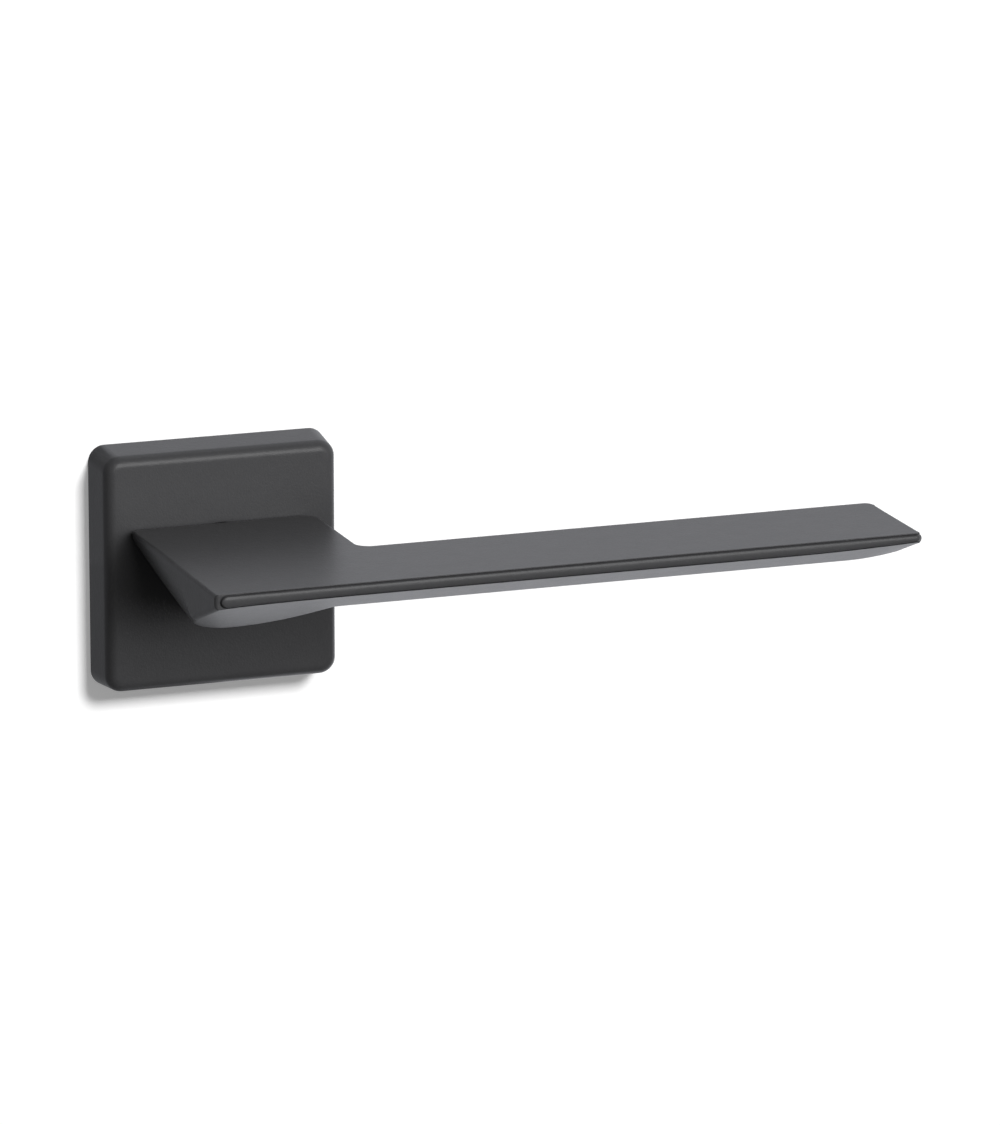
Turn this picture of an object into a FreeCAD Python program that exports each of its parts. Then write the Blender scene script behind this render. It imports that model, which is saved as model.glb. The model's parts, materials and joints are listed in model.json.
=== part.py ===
"""Door lever handle on a square rose: the sprung half set for one side of a door.

Millimetres, +Z up.  The origin is where the spindle's axis meets the door's face.
+X runs along the lever, +Y goes into the door, and the hand is on the -Y side.
Depths named "depth" or "front" are counted from the door's face towards the hand.
"""
import FreeCAD, Part
import math
import os

V = FreeCAD.Vector
Y_AXIS = V(0, 1, 0)
Z_AXIS = V(0, 0, 1)
ORIGIN = V(0, 0, 0)
PAST = 1.0                  # how far a cutting body runs past what it cuts
OVERLAP = 0.5               # how deep two bodies run into each other before they are fused
SAME_PLACE = 0.01           # how near an edge must lie to count as being in a plane
WEDGE_REACH = 1.5           # wedge that cuts a sector, in outer radii

# ---- rose cover ----
ROSE_SIZE = 50.0            # square side at the door
ROSE_DEPTH = 10.0
ROSE_DRAFT = 0.074          # sideways lean of each side per mm of depth
ROSE_CORNER_R = 3.4
ROSE_EDGE_R = 2.4           # round of the front edge
COVER_WALL = 1.5
COVER_HOLE_GAP = 0.1        # guide ring's sleeve to the cover's hole

# ---- lever ----
GRIP_LENGTH = 129.5         # spindle axis to the tip
NECK_WIDTH = 38.8
LEVER_TOP = 9.6             # height of the flat top over the spindle axis
NECK_GAP = 0.4              # neck's back face to the rose's front face
PROJECTION = 66.6           # door face to the lever's front edge
BLADE_WIDTH = 27.7
LIP_HEIGHT = 2.5            # height of the rounded front lip
KEEL_DROP = 8.14            # top of the blade to its keel
KEEL_SHARE = 0.5            # where the keel lies across the blade, from the front
TIP_KEEL_DROP = 6.5         # the same at the tip
TIP_RISE_LENGTH = 29.5      # length over which the keel rises to the tip
BACK_EDGE_HEIGHT = 1.3      # thickness of the blade's back edge
NECK_EDGE_HEIGHT = 0.6      # thickness of the neck's edges at the rose
NECK_BOTTOM_R = 10.0        # spindle axis to the neck's underside at the rose
NECK_BOTTOM_RISE = (13.5, -9.9)      # linear and square part of the underside's rise to the front
NECK_KEEL_SHIFT = 17.4      # how far the neck's keel swings to the left on the way to the front
NECK_LEFT_POWER = (1.26, 1.57)       # superellipse power at the rose, and its growth to the front
NECK_RIGHT_POWER = (2.58, -1.56)
PLAN_BACK_RIGHT_R = 3.5
PLAN_BACK_LEFT_R = 1.7
PLAN_INNER_R = 3.0
PLAN_TIP_R = 1.8
PLAN_FRONT_LEFT_R = 0.6
TOP_EDGE_R = 0.35           # round of the top's edges
HULL_SPREAD = 0.05          # how far the neck's rough hull stands past its sides
HULL_HEIGHT = 40.0          # height of the rough bodies that the lever is cut from
HULL_STEPS = 12             # points on each half of one of its sections
HULL_SECTIONS = 8
HULL_SHARES = (-0.02, 1.03) # its first and last section, by the share of the way to the front
ROUGH_EXTRA = 1.0           # how far those bodies stand past the finished outline

# ---- journal, spindle and grub screw ----
JOURNAL_R = 7.6
JOURNAL_ROOT = 1.2          # how far the journal runs into the neck
RUNNING_GAP = 0.06
SPINDLE_SIDE = 8.0
SQUARE_GAP = 0.05
SPINDLE_BEHIND = 68.0       # length behind the door's face
SPINDLE_IN_NECK = 30.0      # length in front of the door's face
SPINDLE_CHAMFER = 0.6
SOCKET_END_GAP = 1.0
GRUB_R = 2.5
GRUB_LENGTH = 4.0
GRUB_FRONT = 17.0           # its distance from the door's face
GRUB_KEY = 2.5              # across flats of its hexagon socket
GRUB_KEY_DEPTH = 2.0
THREAD_GAP = 0.05

# ---- guide ring ----
GUIDE_WALL = 1.6
GUIDE_PROUD = 0.2
GUIDE_FLANGE_WIDTH = 2.1
GUIDE_FLANGE = 0.5

# ---- base plate ----
GASKET = 0.8
PLATE_GAP = 0.35            # plate and gasket to the inside of the cover
FLOOR = 2.0
POCKET_ROOM = 1.5           # anchor pin to the pocket's wall
POCKET_WALL = 1.4
LUG_PITCH = 38.0            # vertical distance between the bolt-through lugs
LUG_R = 3.75
LUG_LENGTH = 8.0
LUG_COLLAR_R = 4.1
LUG_HOLE_R = 2.15
POST_GAP = 0.4              # pocket's wall to the posts
POST_R = 2.2
POST_ANGLES = (45, 135, 225, 315)
GASKET_HOLE_GAP = 0.2

# ---- spring cassette ----
STOP_ANGLE = 45.0
THRUST_WASHER = 0.4
THRUST_WASHER_WIDTH = 1.6
LAYER_GAP = 0.1             # between flat faces that slide on each other
FLANGE = 1.2
FLANGE_WIDTH = 1.6          # driver's flange past its sleeve
TOOTH_ANGLE = 90.0          # the tooth points up at rest
TOOTH_HALF_ANGLE = 14.0
TOOTH_TIP_GAP = 0.4
STOP_PIN_R = 0.9
STOP_PIN_GAP = 0.05
PIN_SINK = 1.0              # how deep the pins sit in the floor
SPRING_WIRE = 1.25
SPRING_TURNS = 2
SPRING_BORE_GAP = 0.4       # sleeve to the spring
ANCHOR_PIN_R = 0.6
ANCHOR_GAP = 0.3            # anchor pin to the driver's flange
ANCHOR_ANGLE = 200.0
CASSETTE_PLATE = 0.6
CASSETTE_HOLE_GAP = 0.3
RIVET_R = 1.1
RIVET_HEAD_R = 2.0
RIVET_HEAD = 0.5
RIVET_SINK = 3.0
RING_THICKNESS = 0.5
RING_BACK_GAP = 0.1
RING_GROOVE = 0.6           # groove's depth in the sleeve
RING_SEAT_GAP = 0.05
RING_WIDTH = 1.6            # circlip past the sleeve
RING_OPENING = 30.0         # half angle of the gap in the ring
RING_OPENING_ANGLE = -90.0  # where the gap is
WAVE_THICKNESS = 0.3
WAVE_SPACE = 0.45
WAVE_WIDTH = 2.2

# ---- fixing screws, washers and clips ----
SCREW_R = 2.0               # over the thread
SCREW_SHANK_R = 1.75        # plain shank under the head
SCREW_BEHIND = 42.0         # length of the screws behind the door's face
THREAD_START = 9.0          # where the thread starts behind the door's face
SCREW_HEAD_R = 3.5
SCREW_HEAD = 2.4
SCREW_SLOT = (1.0, 1.2)     # width and depth of the driver's slot
WASHER_R = 3.9
WASHER_GAP = 0.05           # washers and heads to what stands beside them
WASHER = 0.8
CLIP_WIDTH = 8.0
CLIP_THICKNESS = 0.4
CLIP_FOOT = 3.6
CLIP_HEIGHT = 3.2
CLIP_EDGE_GAP = 0.3         # clip's spring leg to the cover's wall

# ---- depths that follow from the values above ----
NECK_FRONT = ROSE_DEPTH + NECK_GAP
BACK_EDGE_FRONT = PROJECTION - BLADE_WIDTH
COVER_INSIDE = ROSE_DEPTH - COVER_WALL
FLOOR_TOP = GASKET + FLOOR
FLANGE_BACK = FLOOR_TOP + THRUST_WASHER + LAYER_GAP
FLANGE_TOP = FLANGE_BACK + FLANGE
SPRING_BACK = FLANGE_TOP + LAYER_GAP
SPRING_HEIGHT = SPRING_WIRE * SPRING_TURNS
POCKET_TOP = SPRING_BACK + SPRING_HEIGHT + LAYER_GAP
CASSETTE_TOP = POCKET_TOP + CASSETTE_PLATE
RIVET_TOP = CASSETTE_TOP + RIVET_HEAD
GUIDE_BACK = CASSETTE_TOP + LAYER_GAP
GUIDE_TOP = ROSE_DEPTH + GUIDE_PROUD
SLEEVE_TOP = POCKET_TOP + CASSETTE_PLATE / 2
JOURNAL_BACK = SLEEVE_TOP + LAYER_GAP
RING_TOP = RING_BACK_GAP + RING_THICKNESS
WAVE_TOP = RING_TOP + WAVE_SPACE
GUIDE_SLEEVE_R = JOURNAL_R + RUNNING_GAP + GUIDE_WALL
COVER_HOLE_R = GUIDE_SLEEVE_R + COVER_HOLE_GAP
FLANGE_R = JOURNAL_R + FLANGE_WIDTH
WAVE_R = JOURNAL_R + WAVE_WIDTH
SPRING_IN_R = JOURNAL_R + SPRING_BORE_GAP
SPRING_OUT_R = SPRING_IN_R + SPRING_WIRE
ANCHOR_R = max(SPRING_OUT_R, FLANGE_R + ANCHOR_GAP) + ANCHOR_PIN_R
POCKET_R = ANCHOR_R + ANCHOR_PIN_R + POCKET_ROOM
TOOTH_R = POCKET_R - TOOTH_TIP_GAP
POST_PITCH_R = POCKET_R + POCKET_WALL + POST_GAP + POST_R
STOP_PITCH_R = (FLANGE_R + TOOTH_R) / 2
LUG_HEIGHT = LUG_PITCH / 2
INNER_CORNER_R = ROSE_CORNER_R - COVER_WALL / 2


def at_depth(depth, x=0.0, z=0.0):
    """A point in front of the door's face by depth."""
    return V(x, -depth, z)


def rod(radius, back, front, x=0.0, z=0.0):
    """A cylinder along Y between two depths."""
    return Part.makeCylinder(radius, front - back, at_depth(front, x, z), Y_AXIS)


def ring(outer, inner, back, front, x=0.0, z=0.0):
    """A tube along Y; its bore is cut past both ends."""
    return rod(outer, back, front, x, z).cut(rod(inner, back - PAST, front + PAST, x, z))


def block(x0, x1, back, front, z0, z1):
    """A box between two depths."""
    return Part.makeBox(x1 - x0, front - back, z1 - z0, V(x0, -front, z0))


def square_bar(side, back, front):
    """A square bar along the spindle's axis."""
    return block(-side / 2, side / 2, back, front, -side / 2, side / 2)


def around(radius, angle):
    """X and Z of a point around the spindle's axis; angle from +X towards +Z."""
    return radius * math.cos(math.radians(angle)), radius * math.sin(math.radians(angle))


def turned_copy(shape, angle):
    """A copy turned about the spindle's axis."""
    turned = shape.copy()
    turned.rotate(ORIGIN, Y_AXIS, angle)
    return turned


def sector(inner, outer, back, front, middle, half_angle):
    """A piece of a ring, centred on an angle, cut by a wedge from the axis."""
    reach = outer * WEDGE_REACH
    corners = [at_depth(front)]
    for share in (-1, -0.5, 0, 0.5, 1):
        x, z = around(reach, middle + share * half_angle)
        corners.append(at_depth(front, x, z))
    wedge = Part.Face(Part.makePolygon(corners + [corners[0]])).extrude(V(0, front - back, 0))
    return ring(outer, inner, back, front).common(wedge)


def hexagon(across_flats, height, base, direction):
    """A hexagonal prism for a key socket."""
    radius = across_flats / math.sqrt(3)
    points = [V(radius * math.cos(i * math.pi / 3), radius * math.sin(i * math.pi / 3), 0) for i in range(7)]
    prism = Part.Face(Part.makePolygon(points)).extrude(V(0, 0, height))
    prism.Placement = FreeCAD.Placement(base, FreeCAD.Rotation(Z_AXIS, direction))
    return prism


def rounded_square(half, radius, depth):
    """A closed wire: a square with round corners, in the plane at a depth."""
    inner = half - radius
    edges = []
    for quarter in range(4):
        start = 90 * quarter
        middle = math.radians(start + 45)
        sx = math.copysign(1, math.cos(middle))
        sz = math.copysign(1, math.sin(middle))
        arc = [V(sx * inner + radius * math.cos(math.radians(start + a)), -depth,
                 sz * inner + radius * math.sin(math.radians(start + a))) for a in (0, 45, 90)]
        edges.append(Part.Arc(*arc).toShape())
    wire_edges = []
    for i, edge in enumerate(edges):
        wire_edges.append(edge)
        following = edges[(i + 1) % 4]
        wire_edges.append(Part.LineSegment(edge.lastVertex().Point, following.firstVertex().Point).toShape())
    return Part.Wire(Part.__sortEdges__(wire_edges))


def drafted_square(half, radius, back, front):
    """A square block whose sides lean in towards the hand by the rose's draft."""
    sections = []
    for depth in (back, front):
        lean = ROSE_DRAFT * depth
        sections.append(rounded_square(half - lean, radius, depth))
    return Part.makeLoft(sections, True, True)


# ---- lever ----

def plan_outline():
    """The lever seen from above: an L with round corners, as a face at a chosen height."""
    left = -NECK_WIDTH / 2
    right = NECK_WIDTH / 2
    corners = [
        (left, NECK_FRONT, PLAN_BACK_LEFT_R),
        (left, PROJECTION, PLAN_FRONT_LEFT_R),
        (GRIP_LENGTH, PROJECTION, PLAN_TIP_R),
        (GRIP_LENGTH, BACK_EDGE_FRONT, PLAN_TIP_R),
        (right, BACK_EDGE_FRONT, PLAN_INNER_R),
        (right, NECK_FRONT, PLAN_BACK_RIGHT_R),
    ]
    points = [V(x, -front, 0) for x, front, _ in corners]
    count = len(points)
    edges = []
    starts = []
    ends = []
    for i in range(count):
        before = points[i - 1].sub(points[i]).normalize()
        after = points[(i + 1) % count].sub(points[i]).normalize()
        radius = corners[i][2]
        first = points[i].add(before.multiply(radius))
        last = points[i].add(after.multiply(radius))
        diagonal = first.add(last).multiply(0.5).sub(points[i]).normalize()
        middle = points[i].add(diagonal.multiply(radius * (math.sqrt(2) - 1)))
        edges.append(Part.Arc(first, middle, last).toShape())
        starts.append(first)
        ends.append(last)
    for i in range(count):
        edges.append(Part.LineSegment(ends[i], starts[(i + 1) % count]).toShape())
    return Part.Face(Part.Wire(Part.__sortEdges__(edges)))


def neck_bottom(share):
    """Height of the neck's underside at its keel, by the share of the way to the front."""
    linear, square = NECK_BOTTOM_RISE
    return -NECK_BOTTOM_R + linear * share + square * share * share


def neck_hull():
    """Everything over the neck's underside: superellipse sections that grow fuller to the left."""
    half = NECK_WIDTH / 2 + HULL_SPREAD
    edge = LEVER_TOP - NECK_EDGE_HEIGHT
    first, last = HULL_SHARES
    rows = []
    for section in range(HULL_SECTIONS + 1):
        share = first + (last - first) * section / HULL_SECTIONS
        depth = NECK_FRONT + share * (PROJECTION - NECK_FRONT)
        keel = -NECK_KEEL_SHIFT * share
        drop = edge - neck_bottom(share)
        points = []
        for step in range(-HULL_STEPS, HULL_STEPS + 1):
            start, growth = NECK_LEFT_POWER if step < 0 else NECK_RIGHT_POWER
            power = start + growth * share
            angle = abs(step) / HULL_STEPS * math.pi / 2
            across = math.sin(angle) ** (2 / power)
            down = math.cos(angle) ** (2 / power) if abs(step) < HULL_STEPS else 0.0
            width = half + keel if step < 0 else half - keel
            points.append(at_depth(depth, keel + math.copysign(across * width, step), edge - drop * down))
        rows.append(points)
    surface = Part.BSplineSurface()
    surface.interpolate(rows)
    return surface.toShape().extrude(V(0, 0, HULL_HEIGHT))


def front_slope():
    """Rise per mm of the blade's lower front facet."""
    return (KEEL_DROP - LIP_HEIGHT) / (BLADE_WIDTH * KEEL_SHARE)


def above_front_facet():
    """The space above the lower front facet, which is one plane along neck and blade."""
    low = LEVER_TOP - LIP_HEIGHT
    rough_front = PROJECTION + ROUGH_EXTRA
    profile = [
        at_depth(rough_front, -NECK_WIDTH, low + front_slope() * ROUGH_EXTRA),
        at_depth(rough_front, -NECK_WIDTH, LEVER_TOP + HULL_HEIGHT),
        at_depth(0, -NECK_WIDTH, LEVER_TOP + HULL_HEIGHT),
        at_depth(0, -NECK_WIDTH, low - front_slope() * PROJECTION),
    ]
    face = Part.Face(Part.makePolygon(profile + [profile[0]]))
    return face.extrude(V(2 * NECK_WIDTH, 0, 0))


def blade_section(x, keel_drop):
    """The rough blade's section: front facet, keel and back facet, open past its outline."""
    low = LEVER_TOP - LIP_HEIGHT
    high = LEVER_TOP - BACK_EDGE_HEIGHT
    keel = LEVER_TOP - keel_drop
    keel_front = PROJECTION - BLADE_WIDTH * KEEL_SHARE
    front_rise = (low - keel) / (PROJECTION - keel_front) * ROUGH_EXTRA
    back_rise = (high - keel) / (keel_front - BACK_EDGE_FRONT) * ROUGH_EXTRA
    profile = [
        at_depth(PROJECTION + ROUGH_EXTRA, x, LEVER_TOP + ROUGH_EXTRA),
        at_depth(PROJECTION + ROUGH_EXTRA, x, low + front_rise),
        at_depth(keel_front, x, keel),
        at_depth(BACK_EDGE_FRONT - ROUGH_EXTRA, x, high + back_rise),
        at_depth(BACK_EDGE_FRONT - ROUGH_EXTRA, x, LEVER_TOP + ROUGH_EXTRA),
    ]
    return Part.makePolygon(profile + [profile[0]])


def blade():
    """A straight keeled bar, and a tip whose keel curves up."""
    tip_start = GRIP_LENGTH - TIP_RISE_LENGTH
    straight = Part.Face(blade_section(0.0, KEEL_DROP)).extrude(V(tip_start, 0, 0))
    sections = []
    for share in (0, 0.25, 0.5, 0.75, 1, 1 + ROUGH_EXTRA / TIP_RISE_LENGTH):
        drop = KEEL_DROP - (KEEL_DROP - TIP_KEEL_DROP) * share ** 2
        sections.append(blade_section(tip_start + share * TIP_RISE_LENGTH, drop))
    tip = Part.makeLoft(sections, True, False)
    return straight.fuse(tip)


def outline_prism():
    """The plan's outline as a tall prism with a rounded top edge."""
    plan = plan_outline()
    plan.translate(V(0, 0, LEVER_TOP - HULL_HEIGHT))
    prism = plan.extrude(V(0, 0, HULL_HEIGHT))
    top_edges = [e for e in prism.Edges if e.BoundBox.ZMin > LEVER_TOP - ROUGH_EXTRA]
    return prism.makeFillet(TOP_EDGE_R, top_edges)


def lever_handle():
    """One casting: neck and blade under a flat top, journal, square socket, screw hole."""
    body = neck_hull().common(above_front_facet()).fuse(blade()).common(outline_prism())
    body = body.fuse(rod(JOURNAL_R, JOURNAL_BACK, NECK_FRONT + JOURNAL_ROOT))
    body = body.cut(square_bar(SPINDLE_SIDE + 2 * SQUARE_GAP, 0, SPINDLE_IN_NECK + SOCKET_END_GAP))
    hole = Part.makeCylinder(GRUB_R + THREAD_GAP, HULL_HEIGHT, at_depth(GRUB_FRONT), V(0, 0, -1))
    return body.cut(hole)


# ---- pieces that turn with the lever ----

def spindle():
    """The square bar, with chamfered ends."""
    bar = square_bar(SPINDLE_SIDE, -SPINDLE_BEHIND, SPINDLE_IN_NECK)
    ends = []
    for edge in bar.Edges:
        middle = edge.CenterOfMass
        at_end = abs(middle.y - SPINDLE_BEHIND) < SAME_PLACE or abs(middle.y + SPINDLE_IN_NECK) < SAME_PLACE
        if at_end:
            ends.append(edge)
    return bar.makeChamfer(SPINDLE_CHAMFER, ends)


def lever_grub_screw():
    """Set screw that bears on the spindle's lower face."""
    top = -SPINDLE_SIDE / 2
    screw = Part.makeCylinder(GRUB_R, GRUB_LENGTH, at_depth(GRUB_FRONT, 0, top), V(0, 0, -1))
    key_end = at_depth(GRUB_FRONT, 0, top - GRUB_LENGTH)
    return screw.cut(hexagon(GRUB_KEY, GRUB_KEY_DEPTH, key_end, Z_AXIS))


def spring_driver():
    """Sleeve with a square bore, a flange and the tooth that meets the stops."""
    driver = rod(JOURNAL_R, RING_BACK_GAP / 2, SLEEVE_TOP)
    driver = driver.fuse(rod(FLANGE_R, FLANGE_BACK, FLANGE_TOP))
    tooth = sector(JOURNAL_R, TOOTH_R, FLANGE_BACK, FLANGE_TOP, TOOTH_ANGLE, TOOTH_HALF_ANGLE)
    driver = driver.fuse(tooth).removeSplitter()
    driver = driver.cut(square_bar(SPINDLE_SIDE + 2 * SQUARE_GAP, -PAST, ROSE_DEPTH))
    groove = ring(JOURNAL_R + PAST, JOURNAL_R - RING_GROOVE, RING_BACK_GAP, RING_TOP)
    return driver.cut(groove)


def retaining_ring():
    """Circlip in the sleeve's groove, behind the plate."""
    clip = ring(JOURNAL_R + RING_WIDTH, JOURNAL_R - RING_GROOVE + RING_SEAT_GAP, RING_BACK_GAP, RING_TOP)
    reach = JOURNAL_R + RING_WIDTH + PAST
    gap = sector(PAST, reach, RING_BACK_GAP - PAST, RING_TOP + PAST, RING_OPENING_ANGLE, RING_OPENING)
    return clip.cut(gap)


def wave_washer():
    """Spring washer between the circlip and the plate."""
    middle = (RING_TOP + WAVE_TOP) / 2
    half = WAVE_THICKNESS / 2
    return ring(WAVE_R, JOURNAL_R + RUNNING_GAP, middle - half, middle + half)


# ---- pieces that stay with the door ----

def rose_cover():
    """Square shell, open at the back, with a round front edge."""
    outer = drafted_square(ROSE_SIZE / 2, ROSE_CORNER_R, 0, ROSE_DEPTH)
    rim = []
    for edge in outer.Edges:
        box = edge.BoundBox
        if abs(box.YMin + ROSE_DEPTH) < SAME_PLACE and box.YLength < SAME_PLACE:
            rim.append(edge)
    outer = outer.makeFillet(ROSE_EDGE_R, rim)
    hollow = drafted_square(ROSE_SIZE / 2 - COVER_WALL, INNER_CORNER_R, -PAST, COVER_INSIDE)
    return outer.cut(hollow).cut(rod(COVER_HOLE_R, 0, ROSE_DEPTH + PAST))


def guide_ring():
    """Nylon bearing for the lever's journal, flanged behind the cover."""
    sleeve = rod(GUIDE_SLEEVE_R, GUIDE_BACK, GUIDE_TOP)
    flange = rod(GUIDE_SLEEVE_R + GUIDE_FLANGE_WIDTH, GUIDE_BACK, GUIDE_BACK + GUIDE_FLANGE)
    return sleeve.fuse(flange).cut(rod(JOURNAL_R + RUNNING_GAP, 0, ROSE_DEPTH + PAST))


def plate_half():
    """Half the side of the base plate and gasket at the floor's top."""
    return ROSE_SIZE / 2 - COVER_WALL - PLATE_GAP - ROSE_DRAFT * FLOOR_TOP


def post_places():
    """X and Z of the four rivet posts."""
    return [around(POST_PITCH_R, angle) for angle in POST_ANGLES]


def base_plate():
    """Cast plate with the spring's pocket, four posts and two bolt-through lugs."""
    plate = Part.Face(rounded_square(plate_half(), INNER_CORNER_R, FLOOR_TOP)).extrude(V(0, FLOOR, 0))
    plate = plate.fuse(ring(POCKET_R + POCKET_WALL, POCKET_R, FLOOR_TOP - OVERLAP, POCKET_TOP))
    for x, z in post_places():
        post = rod(POST_R, FLOOR_TOP - OVERLAP, POCKET_TOP, x, z)
        plate = plate.fuse(post.cut(rod(POCKET_R, 0, ROSE_DEPTH)))
    for side in (-1, 1):
        height = side * LUG_HEIGHT
        plate = plate.fuse(rod(LUG_COLLAR_R, 0, FLOOR_TOP - OVERLAP, 0, height))
        plate = plate.fuse(rod(LUG_R, -LUG_LENGTH, FLOOR_TOP - OVERLAP, 0, height))
    plate = plate.removeSplitter()
    for side in (-1, 1):
        plate = plate.cut(rod(LUG_HOLE_R, -LUG_LENGTH - PAST, ROSE_DEPTH, 0, side * LUG_HEIGHT))
        plate = plate.cut(rod(WASHER_R + WASHER_GAP, FLOOR_TOP, ROSE_DEPTH, 0, side * LUG_HEIGHT))
    for x, z in post_places():
        plate = plate.cut(rod(RIVET_R, POCKET_TOP - RIVET_SINK, POCKET_TOP + PAST, x, z))
    for x, z, radius in pin_places():
        plate = plate.cut(rod(radius, FLOOR_TOP - PIN_SINK, FLOOR_TOP + PAST, x, z))
    plate = plate.cut(rod(WAVE_R + RUNNING_GAP + LAYER_GAP, 0, WAVE_TOP))
    return plate.cut(rod(JOURNAL_R + RUNNING_GAP, 0, FLOOR_TOP + PAST))


def stop_angles():
    """Where the two stop pins stand, so that the tooth meets one at rest and one when down."""
    pin_width = math.degrees(math.asin((STOP_PIN_R + STOP_PIN_GAP) / STOP_PITCH_R))
    at_rest = TOOTH_ANGLE + TOOTH_HALF_ANGLE + pin_width
    when_down = TOOTH_ANGLE - STOP_ANGLE - TOOTH_HALF_ANGLE - pin_width
    return at_rest, when_down


def pin_places():
    """X, Z and radius of each pin that stands in the floor."""
    places = []
    for angle in stop_angles():
        x, z = around(STOP_PITCH_R + STOP_PIN_GAP, angle)
        places.append((x, z, STOP_PIN_R))
    x, z = around(ANCHOR_R, ANCHOR_ANGLE)
    places.append((x, z, ANCHOR_PIN_R))
    return places


def floor_pins(places, top):
    """Round pins from inside the floor up to a depth."""
    return [rod(radius, FLOOR_TOP - PIN_SINK, top, x, z) for x, z, radius in places]


def backing_gasket():
    """Foam pad that lies on the door, with holes for the lugs and the sleeve."""
    pad = Part.Face(rounded_square(plate_half(), INNER_CORNER_R, GASKET)).extrude(V(0, GASKET, 0))
    pad = pad.cut(rod(WAVE_R + GASKET_HOLE_GAP, -PAST, ROSE_DEPTH))
    for side in (-1, 1):
        pad = pad.cut(rod(LUG_COLLAR_R + GASKET_HOLE_GAP, -PAST, ROSE_DEPTH, 0, side * LUG_HEIGHT))
    return pad


def return_spring():
    """The coil's outer shape as one closed ring."""
    return ring(SPRING_OUT_R, SPRING_IN_R, SPRING_BACK, SPRING_BACK + SPRING_HEIGHT)


def cassette_cover():
    """Steel plate over the spring, with an arm and an ear for each rivet."""
    plate = rod(POCKET_R + POCKET_WALL, POCKET_TOP, CASSETTE_TOP)
    arms = block(-POST_PITCH_R, POST_PITCH_R, POCKET_TOP, CASSETTE_TOP, -POST_R, POST_R)
    for diagonal in POST_ANGLES[:2]:
        plate = plate.fuse(turned_copy(arms, diagonal))
    for x, z in post_places():
        plate = plate.fuse(rod(POST_R, POCKET_TOP, CASSETTE_TOP, x, z))
    plate = plate.removeSplitter()
    for x, z in post_places():
        plate = plate.cut(rod(RIVET_R, 0, ROSE_DEPTH, x, z))
    for side in (-1, 1):
        plate = plate.cut(rod(WASHER_R + WASHER_GAP, 0, ROSE_DEPTH, 0, side * LUG_HEIGHT))
    return plate.cut(rod(JOURNAL_R + CASSETTE_HOLE_GAP, 0, ROSE_DEPTH))


def cassette_rivets():
    """Four rivets through the cassette's plate into the posts."""
    rivets = []
    for x, z in post_places():
        shank = rod(RIVET_R, POCKET_TOP - RIVET_SINK, CASSETTE_TOP, x, z)
        head = rod(RIVET_HEAD_R, CASSETTE_TOP, RIVET_TOP, x, z)
        rivets.append(shank.fuse(head))
    return rivets


def thrust_washer():
    """Thin washer between the driver's flange and the floor."""
    outer = JOURNAL_R + THRUST_WASHER_WIDTH
    return ring(outer, JOURNAL_R + CASSETTE_HOLE_GAP, FLOOR_TOP, FLOOR_TOP + THRUST_WASHER)


def screw_washers():
    """Plain washers under the two screws' heads."""
    washers = []
    for side in (-1, 1):
        washers.append(ring(WASHER_R, LUG_HOLE_R, FLOOR_TOP, FLOOR_TOP + WASHER, 0, side * LUG_HEIGHT))
    return washers


def fixing_screws():
    """Two slotted bolt-through screws."""
    screws = []
    slot_width, slot_depth = SCREW_SLOT
    under = FLOOR_TOP + WASHER
    for side in (-1, 1):
        height = side * LUG_HEIGHT
        screw = rod(SCREW_R, -SCREW_BEHIND, -THREAD_START, 0, height)
        screw = screw.fuse(rod(SCREW_SHANK_R, -THREAD_START, under, 0, height))
        screw = screw.fuse(rod(SCREW_HEAD_R, under, under + SCREW_HEAD, 0, height))
        top = under + SCREW_HEAD
        slot = block(-SCREW_HEAD_R - PAST, SCREW_HEAD_R + PAST, top - slot_depth, top + PAST,
                     height - slot_width / 2, height + slot_width / 2)
        screws.append(screw.cut(slot))
    return screws


def cover_clips():
    """Two bent leaf springs on the plate's left and right edges that hold the cover."""
    top = FLOOR_TOP + CLIP_HEIGHT
    wall = ROSE_SIZE / 2 - COVER_WALL - ROSE_DRAFT * top - CLIP_EDGE_GAP
    half = CLIP_WIDTH / 2
    clips = []
    for side in (-1, 1):
        near = side * (wall - CLIP_FOOT)
        far = side * wall
        inner = side * (wall - CLIP_THICKNESS)
        foot = block(min(near, far), max(near, far), FLOOR_TOP, FLOOR_TOP + CLIP_THICKNESS, -half, half)
        leaf = block(min(inner, far), max(inner, far), FLOOR_TOP, top, -half, half)
        clips.append(foot.fuse(leaf).removeSplitter())
    return clips


def save(name, shape):
    """Write one node, whether it is one solid or a group."""
    whole = Part.makeCompound(shape) if isinstance(shape, list) else shape
    solids = whole.Solids
    if not solids or not whole.isValid():
        raise RuntimeError(name + " isn't a sound solid")
    kept = solids[0] if len(solids) == 1 else Part.makeCompound(solids)
    kept.exportStep("parts/" + name + ".step")
    print(name, len(solids), round(kept.Volume, 1))


os.makedirs("parts", exist_ok=True)
stops = pin_places()[:2]
anchor = pin_places()[2:]
save("lever_handle", lever_handle())
save("lever_grub_screw", lever_grub_screw())
save("spindle", spindle())
save("spring_driver", spring_driver())
save("retaining_ring", retaining_ring())
save("wave_washer", wave_washer())
save("rose_cover", rose_cover())
save("guide_ring", guide_ring())
save("base_plate", base_plate())
save("backing_gasket", backing_gasket())
save("stop_pins", floor_pins(stops, FLANGE_TOP))
save("spring_anchor_pin", floor_pins(anchor, SPRING_BACK + SPRING_HEIGHT))
save("return_spring", return_spring())
save("cassette_cover", cassette_cover())
save("cassette_rivets", cassette_rivets())
save("thrust_washer", thrust_washer())
save("fixing_screws", fixing_screws())
save("screw_washers", screw_washers())
save("cover_clips", cover_clips())
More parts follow.
